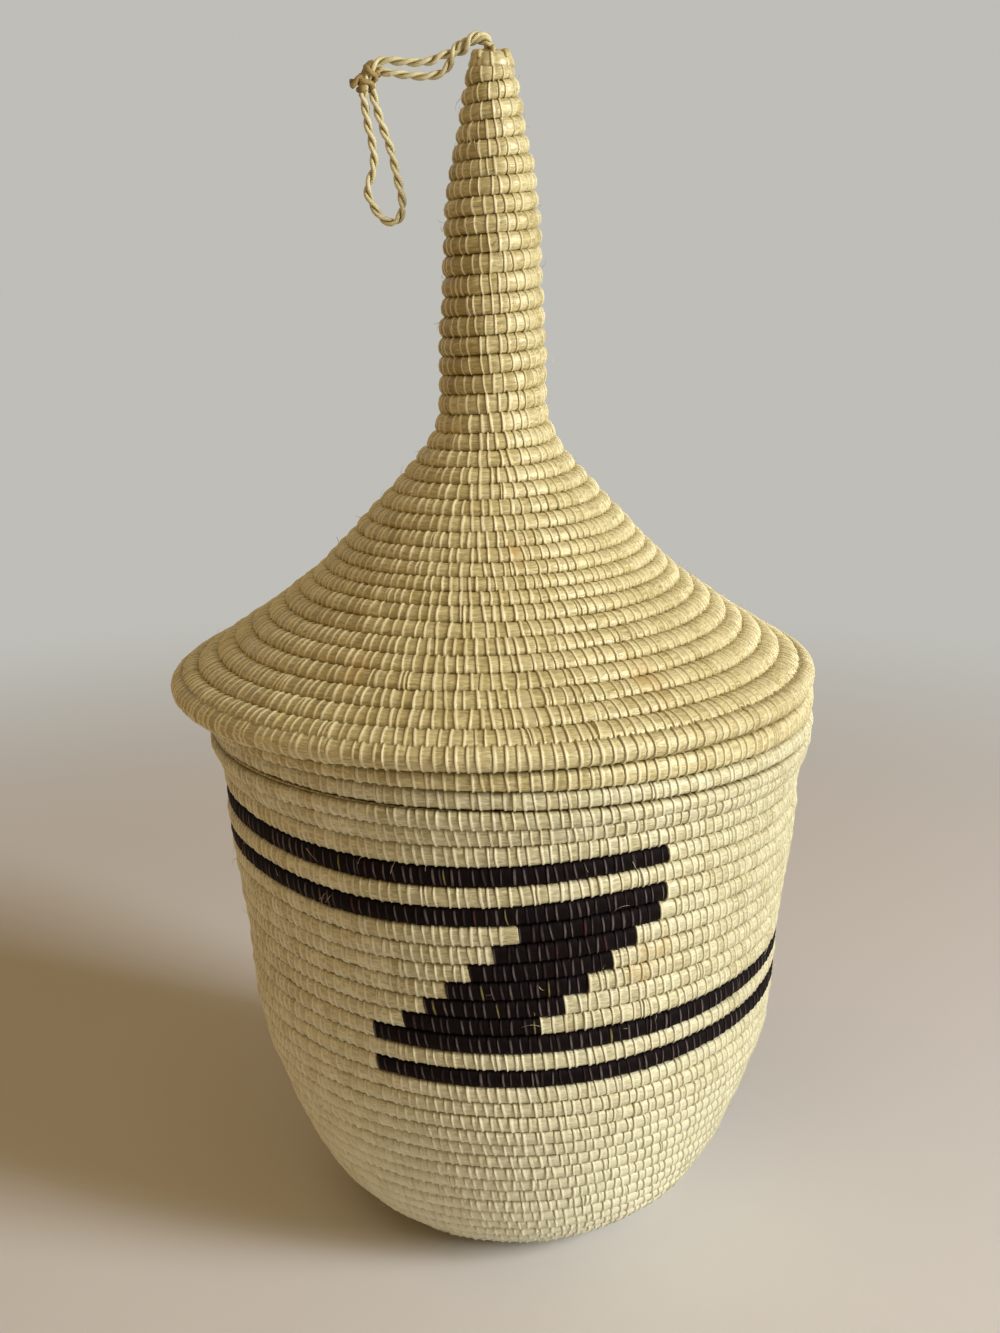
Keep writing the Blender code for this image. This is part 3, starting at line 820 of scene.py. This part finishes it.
def add_cord():
    fibre = cord_material("cord_fibre", (0.54, 0.46, 0.20), (0.89, 0.85, 0.57), (0.17, 0.11, 0.03))
    # The knot's fibre is darker: partly its own reddish brown, partly painted shade.
    darker_knot = cord_material("knot_fibre", (0.25, 0.17, 0.05), (0.46, 0.34, 0.13), (0.10, 0.05, 0.015))
    path = loop_path()
    loop = twisted("cord_loop", [path], STRAND, PLY_PITCH, fibre)
    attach(loop, "lid")
    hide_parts("cord_lead", "cord_run_upper", "cord_run_lower", "cord_eye")
    core = smooth(route("cord_knot"), 24) * MM
    # The wraps leave the ends of its route free
    core = core[len(core) // 10 : 3 * len(core) // 4] + CORD_TOP
    wrap = helix_about(core, KNOT_RADIUS, KNOT_PITCH, 0.0, WRAP_STEP)
    stub = smooth([(x, -0.8, z) for x, z in KNOT_STUB]) * MM + CORD_TOP
    knot = twisted("cord_knot_wraps", [wrap, stub], 1.25 * STRAND, PLY_PITCH, darker_knot)
    middle = twisted("cord_knot_core", [core], KNOT_CORE, 4 * PLY_PITCH, darker_knot)
    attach(middle, "lid")
    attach(knot, "lid")
    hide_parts("cord_knot")


add_camera()
add_cord()

BOWL = bowl_outline()
LID = lid_outline()
pale = straw_material(
    "pale_strand",
    flat=(0.75, 0.71, 0.46),
    deep=(0.55, 0.475, 0.225),
    ridge=(0.89, 0.86, 0.61),
    seam=(0.22, 0.16, 0.06),
    bleached=(0.84, 0.83, 0.62),
)
straw = straw_material(
    "lid_strand",
    flat=(0.74, 0.655, 0.35),
    deep=(0.46, 0.36, 0.115),
    ridge=(0.89, 0.82, 0.52),
    seam=(0.14, 0.09, 0.025),
)
dark = dark_material()

# Material, body and slot of each kind of winding
BOWL_PALE = (pale, "bowl", "pale_sisal")
BOWL_DARK = (dark, "bowl", "dark_sisal")
LID_STRAW = (straw, "lid", "lid_sisal")

# How far the lid's rows lie off an even spacing, in rows, at turns from the rim upwards
LID_ROW_TURNS = (0, 1, 2, 3, 5, 6.5, 8, 9, 10, 11, 12, 17, 20, 24, 28, 32, 36, 38, 39.5)
LID_ROW_MOVES = (
    0, 0.30, 0.52, 0.70, 0.94, 1.06, 1.00, 0.85, 0.70, 0.54, 0.42, 0.33, 0.16, 0.18, 0.32, 0.14,
    -0.06, -0.20, -0.05,
)


def bowl_row(turn):
    """Runs of the grooves below and above the bowl's coil at a turn, which is 0 at the mouth."""
    low = BOWL.length + COIL * turn
    return np.clip(low, 0, BOWL.length - COIL), np.clip(low + COIL, 0, BOWL.length - COIL)


def lid_row(turn):
    """The same for the lid's coil, whose turns count up from the rim."""
    ends = []
    for edge in (turn, turn + 1):
        moved = edge + np.interp(edge, LID_ROW_TURNS, LID_ROW_MOVES)
        ends.append(np.clip(COIL * moved, 0, LID.length))
    return ends


def level_row(low, high):
    """A row that doesn't climb, between two runs."""
    return lambda turn: (np.full_like(turn, low), np.full_like(turn, high))


def dark_pattern():
    """Spans of turns of each dark piece: four stripes, and the steps that join them."""
    reach = STRIPE_REACH / 360
    lower_round = LOWER_STRIPE_END / 360 + reach
    upper_round = UPPER_STRIPE_START / 360 + reach
    low, high = STEP_TURN - 8, STEP_TURN - 6
    spans = {
        "lower_stripe_1": (low - reach, low - reach + lower_round),
        "lower_stripe_2": (high - reach, high - reach + lower_round),
        "upper_stripe_1": (STEP_TURN + 1 + reach - upper_round, STEP_TURN + 1 + reach),
        "upper_stripe_2": (STEP_TURN + 3 + reach - upper_round, STEP_TURN + 3 + reach),
    }
    figures = (
        ("front", STEPS_IN_FRONT, STEP_TURN, STEP_ANGLE, STEP_DRIFT),
        ("back", STEPS_BEHIND, STEP_TURN - 1, BACK_STEP_ANGLE, BACK_STEP_DRIFT),
    )
    half = STEP_WIDTH / 2
    for side, count, top, angle, drift in figures:
        for i in range(count):
            ends = (angle + drift * i - half, angle + drift * i + half)
            spans[f"{side}_step_{i + 1}"] = tuple(top - i + end / 360 for end in ends)
    return spans


# Strands to a turn of the coil, below each radius
BOWL_COUNTS = (
    (0.0045, 8.6), (0.008, 14.6), (0.012, 22.6), (0.017, 33.6), (0.023, 48.6), (0.0285, 64.6),
    (0.035, 81.6), (0.044, 104.6), (0.056, 133.6), (0.066, 163.6), (0.072, 183.6), (0.09, 199.6),
)
LID_COUNTS = (
    (0.0062, 13.3), (0.0080, 17.3), (0.0100, 22.3), (0.0122, 27.3), (0.0145, 32.3),
    (0.019, 41.3), (0.025, 53.3), (0.032, 70.3), (0.041, 92.3), (0.052, 118.3),
    (0.065, 149.3), (0.076, 177.3), (0.09, 192.3),
)


def add_bowl():
    """The bowl's one coil, cut where the dark pattern changes its colour."""
    count_at = count_steps(BOWL_COUNTS, BOWL, bowl_row)
    start = -BOWL.length / COIL + COIL_START
    base_end = (BASE_RADIUS - BOWL.length) / COIL
    turns = strand_turns(start, BOWL_END, count_at, 11)
    spans = {"base_coil": (start, base_end), "bowl_wall_low": (base_end, BAND_START)}
    pattern = dark_pattern()
    turn = BAND_START
    for i, (name, (first, last)) in enumerate(sorted(pattern.items(), key=lambda item: item[1])):
        spans[f"pale_stretch_{i + 1}"] = (turn, first)
        spans[name] = (first, last)
        turn = last
    band_end = BAND_START + BAND_TURNS
    spans[f"pale_stretch_{len(pattern) + 1}"] = (turn, band_end)
    spans["bowl_wall_high"] = (band_end, BOWL_END)
    for name, (first, last) in spans.items():
        is_dark = name in pattern
        here = stretch_turns(turns, first, last, count_at)
        kind = BOWL_DARK if is_dark else BOWL_PALE
        replaced = ["bowl_wall"] if name.startswith("bowl_wall") else [name]
        wound(
            name + "_winding", BOWL, bowl_lean, bowl_row, here, kind, replaced,
            seed=sum(map(ord, name)), squareness=3.0, swell=1.03,
            ridge=0.00018 if is_dark else 0.00027, ridge_width=0.00066 if is_dark else 0.00070,
            lean_angle=math.radians(8), crispness=9, fading=3 if is_dark else 9,
        )


def ring(name, radius, low, high, lean, kind, replaced, count, seed, rows=1, **shape):
    """Level rows laid on each other at one radius, with count strands in each."""
    outline = Outline([(radius, low), (radius, (low + high) / 2), (radius, high)])
    height = (high - low) / rows
    for i in range(rows):
        own_name = name if rows == 1 else f"{name}_{i + 1}"
        row = level_row(i * height, (i + 1) * height)
        turns = strand_turns(0.0, 1.0, lambda turn: count, seed + i)
        wound(own_name, outline, lean, row, turns, kind, replaced, seed + i, True, **shape)


def add_rings():
    """The rows that don't climb: mouth, collar, and the lid's two lowest."""
    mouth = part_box("mouth_row")
    ring(
        "mouth_row_winding", MOUTH_RADIUS, mouth[0][2], mouth[1][2], bowl_lean, BOWL_PALE,
        ["mouth_row"], count=200, seed=51, ridge=0.00022, ridge_width=0.00078,
    )
    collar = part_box("mouth_collar")
    ring(
        "mouth_collar_winding", half_width(collar), collar[0][2], collar[1][2], bowl_lean,
        BOWL_PALE, ["mouth_collar"], count=172, seed=61, rows=2, wall=COLLAR_WALL,
        squareness=2.3, swell=1.0, ridge=0.00018,
    )
    ring(
        "lid_seat_winding", SEAT_RADIUS, LID_BASE, SEAT_TOP, seat_lean, LID_STRAW,
        ["lid_seat_row"], count=186, seed=71, squareness=2.3, swell=1.0,
    )
    ring(
        "lid_rim_winding", RIM_RADIUS, SEAT_TOP + SEAM, RIM_TOP, lid_lean, LID_STRAW,
        ["lid_rim_row"], count=194, seed=81, wall=RIM_WALL, squareness=2.1, tapers=False,
    )


def add_lid():
    """The cone, the spire and its tip."""
    count_at = count_steps(LID_COUNTS, LID, lid_row)
    neck_turn = np.interp(NECK, LID.height, LID.run) / COIL
    end = LID.length / COIL - LID_END_ROOM
    turns = strand_turns(LID_START, end, count_at, 21)
    for name, first, last in (("lid_cone", LID_START, neck_turn), ("lid_spire", neck_turn, end)):
        is_cone = name == "lid_cone"
        here = stretch_turns(turns, first, last, count_at)
        wound(
            name + "_winding", LID, lid_lean, lid_row, here, LID_STRAW, [name], seed=31,
            squareness=2.5 if is_cone else 2.3, ridge=0.00031 if is_cone else 0.00022,
            ridge_width=0.00074 if is_cone else 0.00062, lean_angle=math.radians(5),
            painted_shade_depth=1.0 if is_cone else 2.0,
        )
    foot = SPIRE_TOP - TIP_HEIGHT - TIP_SINK
    dome = ((0.97, 0.0), (0.94, 0.30), (0.83, 0.65), (0.56, 0.92), (0.14, 0.96))
    tip = Outline([(TIP_RADIUS * out, foot + (SPIRE_TOP - foot) * up) for out, up in dome])
    turns = strand_turns(0.0, 1.0, lambda turn: TIP_COUNT, 91)
    wound(
        "spire_tip_winding", tip, lid_lean, level_row(0.0, tip.length), turns, LID_STRAW,
        ["spire_tip"], seed=91, closed=True, wall=TIP_WALL, squareness=3.2, swell=1.0,
        ridge=0.00022, crown=0.00030,
    )


def stray_fibres(name, outline, lean, runs, kind, count, seed):
    """Loose ends of fibre, as thin bowed tubes that rise a little from the wall."""
    rng = np.random.default_rng(seed)
    vertices, faces = [], []
    along = np.linspace(0, 1, FIBRE_STEPS)
    for _ in range(count):
        run = rng.uniform(*runs)
        angle = rng.uniform(0, TURN)
        heading = rng.uniform(0, TURN) + rng.normal(0, 1.0) * along
        length = rng.uniform(*FIBRE_LENGTH)
        rise = rng.uniform(*FIBRE_RISE)
        step = length / FIBRE_STEPS
        run = run + np.cumsum(np.cos(heading)) * step
        angle = angle + np.cumsum(np.sin(heading)) * step / outline.radius_at(run)
        lift = FIBRE_RADIUS[1] + rise * 4 * along * (1 - 0.7 * along)
        points = outline.place(run, lift, angle, lean)
        points[:, 2] = points[:, 2].clip(FIBRE_RADIUS[1])
        _, out, over = frames_along(points)
        radius = rng.uniform(*FIBRE_RADIUS) * (1.1 - along)[:, None, None]
        grid = tube_points(points, out, over, radius, radius, FIBRE_SIDES)
        faces += tube_faces(len(vertices), FIBRE_STEPS, FIBRE_SIDES)
        vertices += grid.reshape(-1, 3).tolist()
    material, body, slot = kind
    made = mesh_object(name, vertices, faces, material, {})
    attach(made, body)


TUFTS = (
    # angle from the front, share of the tip's radius out, rise over the top, radius
    (-80, 0.66, -0.0006, 0.00060),
    (-38, 0.72, -0.0010, 0.00060),
    (8, 0.58, 0.0003, 0.00055),
    (50, 0.70, -0.0008, 0.00060),
    (92, 0.66, -0.0003, 0.00060),
    (140, 0.70, -0.0005, 0.00060),
    (-140, 0.70, -0.0003, 0.00060),
)
TUFT_SIDES = 7


def add_tufts(material):
    """Short ends of strand that stand up round the hole in the spire's tip."""
    vertices, faces = [], []
    for degrees, share, rise, thickness in TUFTS:
        angle = math.radians(degrees)
        out = np.array([math.sin(angle), -math.cos(angle), 0])
        foot = out * TIP_RADIUS * share + CORD_TOP
        bend = (
            # outwards and up from the foot
            (0.0007, -0.0022), (0.0004, -0.0008), (-0.0002, rise), (-0.0014, rise - 0.0003),
            (-0.0022, -0.0016),
        )
        points = smooth([foot + away * out + [0, 0, up] for away, up in bend], 4)
        _, aside, over = frames_along(points)
        grid = tube_points(points, aside, over, thickness, thickness, TUFT_SIDES)
        faces += tube_faces(len(vertices), len(points), TUFT_SIDES)
        vertices += grid.reshape(-1, 3).tolist()
    made = mesh_object("tip_tufts", vertices, faces, material, {})
    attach(made, "lid")


def add_fibres():
    loose = fibre_material()
    add_tufts(cord_material("tuft_fibre", (0.36, 0.29, 0.11), (0.66, 0.57, 0.30), (0.13, 0.08, 0.02)))
    stray_fibres(
        "lid_loose_fibres", LID, lid_lean, (0.002, LID.length - 0.004),
        (loose, "lid", "lid_sisal"), count=260, seed=5,
    )
    stray_fibres(
        "bowl_loose_fibres", BOWL, bowl_lean, (BASE_RADIUS, BOWL.length - 0.006),
        (loose, "bowl", "pale_sisal"), count=200, seed=6,
    )


# The surroundings
FLOOR_SIZE = 60
FLOOR_DROP = 0.0001  # the floor lies this far below the base
FADE_START = 0.25  # the floor fades into the backdrop between these distances
FADE_END = 0.75
FLOOR_COLOUR = (0.77, 0.775, 0.82)
FLOOR_PATCHES = (0.64, 0.60, 0.56)
BACKDROP_COLOUR = (0.52, 0.515, 0.48)
SKY_COLOUR = (1.0, 0.61, 0.24)
SKY_STRENGTH = 0.17
LAMP_AIM = (0, 0, 0.15)
LAMPS = (
    # name, place, width and height, watts, colour
    ("window", (1.190, -0.572, 0.63), (0.4, 0.7), 20.6, (1.0, 0.985, 0.94)),
    ("ceiling", (-0.25, -0.20, 1.15), (0.9, 0.9), 2.05, (1.0, 0.79, 0.42)),
    ("bounce", (-0.75, -0.30, 0.14), (0.5, 0.25), 0.45, (1.0, 0.56, 0.20)),
)


def show_mixed(owner, share, first, second):
    """Show a share of a second shader over the first on a material or the world."""
    nodes, links = owner.node_tree.nodes, owner.node_tree.links
    mixed = nodes.new("ShaderNodeMixShader")
    links.new(share, mixed.inputs[0])
    links.new(first.outputs[0], mixed.inputs[1])
    links.new(second.outputs[0], mixed.inputs[2])
    output = nodes.get("Material Output") or nodes.get("World Output")
    links.new(mixed.outputs[0], output.inputs["Surface"])


def add_stage():
    """A pale floor that fades into the backdrop's colour some way behind the basket."""
    bpy.ops.mesh.primitive_plane_add(size=FLOOR_SIZE, location=(0, 0, -FLOOR_DROP))
    floor = bpy.context.object
    floor.name = "floor"
    shader = Shader("floor_board")
    patches = shader.noise(3.0, 4.0)
    colour = shader.mix(shader.ramp(patches, 0.3, 0.7, 0.0, 0.12), FLOOR_COLOUR, FLOOR_PATCHES)
    shader.finish(colour, 0.75, specular=0.15)
    away = shader.node("VectorMath", {0: shader.place()}, operation="LENGTH").outputs["Value"]
    far = shader.ramp(away, FADE_START, FADE_END)
    far.node.interpolation_type = "SMOOTHSTEP"
    seen = shader.node("LightPath").outputs["Is Camera Ray"]
    shown = shader.math("MULTIPLY", far, seen)
    glow = shader.node("Emission", {"Color": BACKDROP_COLOUR})
    show_mixed(shader.material, shown, shader.surface, glow)
    floor.data.materials.append(shader.material)


def add_world():
    """A faint warm sky as light, and the backdrop's colour where the sky is seen."""
    world = bpy.data.worlds.new("studio")
    bpy.context.scene.world = world
    world.use_nodes = True
    nodes, links = world.node_tree.nodes, world.node_tree.links
    sky = nodes["Background"]
    sky.inputs["Color"].default_value = (*SKY_COLOUR, 1)
    sky.inputs["Strength"].default_value = SKY_STRENGTH
    shown = nodes.new("ShaderNodeBackground")
    shown.inputs["Color"].default_value = (*BACKDROP_COLOUR, 1)
    shown.inputs["Strength"].default_value = 1.0
    path = nodes.new("ShaderNodeLightPath")
    seen = path.outputs["Is Camera Ray"]
    for kind in ("Is Glossy Ray", "Is Transmission Ray"):
        either = nodes.new("ShaderNodeMath")
        either.operation = "MAXIMUM"
        links.new(seen, either.inputs[0])
        links.new(path.outputs[kind], either.inputs[1])
        seen = either.outputs[0]
    show_mixed(world, seen, sky, shown)


def add_lamp(name, place, size, power, colour):
    """A rectangular lamp that looks at the basket."""
    data = bpy.data.lights.new(name, "AREA")
    data.shape = "RECTANGLE"
    data.size = size[0]
    data.size_y = size[1]
    data.energy = power
    data.color = colour
    light = placed(name, data)
    light.location = place
    light.rotation_euler = (Vector(LAMP_AIM) - Vector(place)).to_track_quat("-Z", "Y").to_euler()


add_bowl()
add_rings()
add_lid()
add_fibres()
add_stage()
add_world()
for lamp in LAMPS:
    add_lamp(*lamp)
bpy.context.scene.view_settings.view_transform = "Standard"
